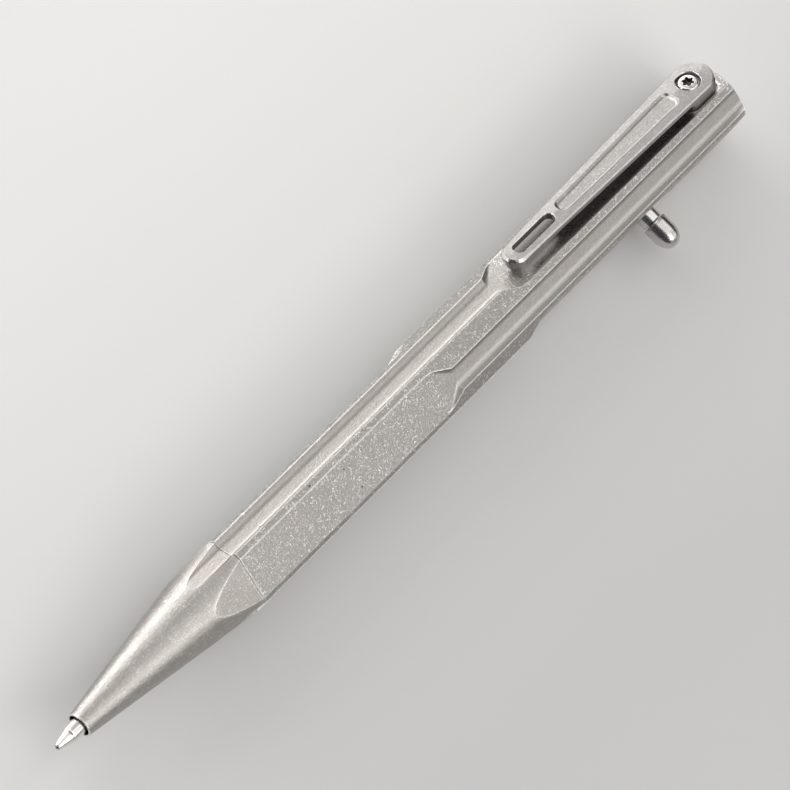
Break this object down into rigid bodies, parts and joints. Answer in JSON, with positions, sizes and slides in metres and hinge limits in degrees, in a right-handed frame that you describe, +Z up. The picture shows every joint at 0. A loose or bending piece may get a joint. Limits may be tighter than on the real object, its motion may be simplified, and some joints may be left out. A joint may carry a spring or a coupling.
{
  "type": "bolt-action pen",
  "caption": "Hexagonal machined metal bolt-action pen with a conical nose, a sliding and turning side bolt, a screwed-on milled pocket clip, and a sprung gel refill inside.",
  "frame": {"origin": "centre of the underside of the outline, on the surface that the pen lies on; the pen lies on the narrow facet opposite the one beside the clip, with the writing point out", "axes": "+X along the pen from the rear end toward the writing point, +Z up, +Y toward the bolt knob"},
  "size_m": [0.1342, 0.0166, 0.0135],
  "materials": {
    "titanium_stonewashed": "satin",
    "titanium_blasted": "satin",
    "titanium_clip": "satin",
    "polished_steel": "polished",
    "point_steel": "polished",
    "carbide": "polished",
    "spring_steel": "satin",
    "plunger_brass": "satin",
    "nitrile_rubber": "matte",
    "refill_white": "gloss",
    "refill_clear": "gloss",
    "ink_black": "gloss",
    "follower_grease": "gloss",
    "plug_black": "matte"
  },
  "bodies": {
    "barrel": {"barrel": "titanium_stonewashed", "clip_foot": "titanium_clip", "clip_screw": "polished_steel"},
    "clip": {"clip_arm": "titanium_clip"},
    "refill": {"refill_tube": "refill_clear", "refill_nose": "refill_white", "refill_point": "point_steel", "writing_ball": "carbide", "refill_ink": "ink_black", "ink_follower": "follower_grease", "refill_end_plug": "plug_black", "return_spring": "spring_steel"},
    "bolt": {"plunger": "plunger_brass", "bolt_stud": "polished_steel", "bolt_head": "polished_steel"},
    "nose_seal": {"nose_o_ring": "nitrile_rubber"},
    "nose": {"nose_cone": "titanium_blasted"}
  },
  "joints": [
    {"name": "bolt_slide", "type": "slide", "parent": "barrel", "child": "refill", "axis": [-1, 0, 0], "range_m": [0, 0.006], "deforming": ["return_spring"]},
    {"name": "bolt_turn", "type": "hinge", "parent": "refill", "child": "bolt", "pos_m": [-0.04609, -0.00221, 0.00575], "axis": [-1, 0, 0], "range_deg": [0, 20]},
    {"name": "clip_flex", "type": "hinge", "parent": "barrel", "child": "clip", "pos_m": [-0.05912, -0.00562, 0.01166], "axis": [0, -0.866, -0.5], "range_deg": [0, 2.5], "stiffness_Nm_per_rad": 5.5},
    {"name": "nose_travel", "type": "slide", "parent": "barrel", "child": "nose_seal", "axis": [1, 0, 0], "range_m": [0, 0.009]},
    {"name": "nose_turn", "type": "hinge", "parent": "nose_seal", "child": "nose", "pos_m": [0.03, -0.00221, 0.00575], "axis": [1, 0, 0], "range_deg": [0, 4320]}
  ],
  "couplings": [
    {"joint": "nose_turn", "follows": "nose_travel", "rad_per_m": 8377.6}
  ]
}
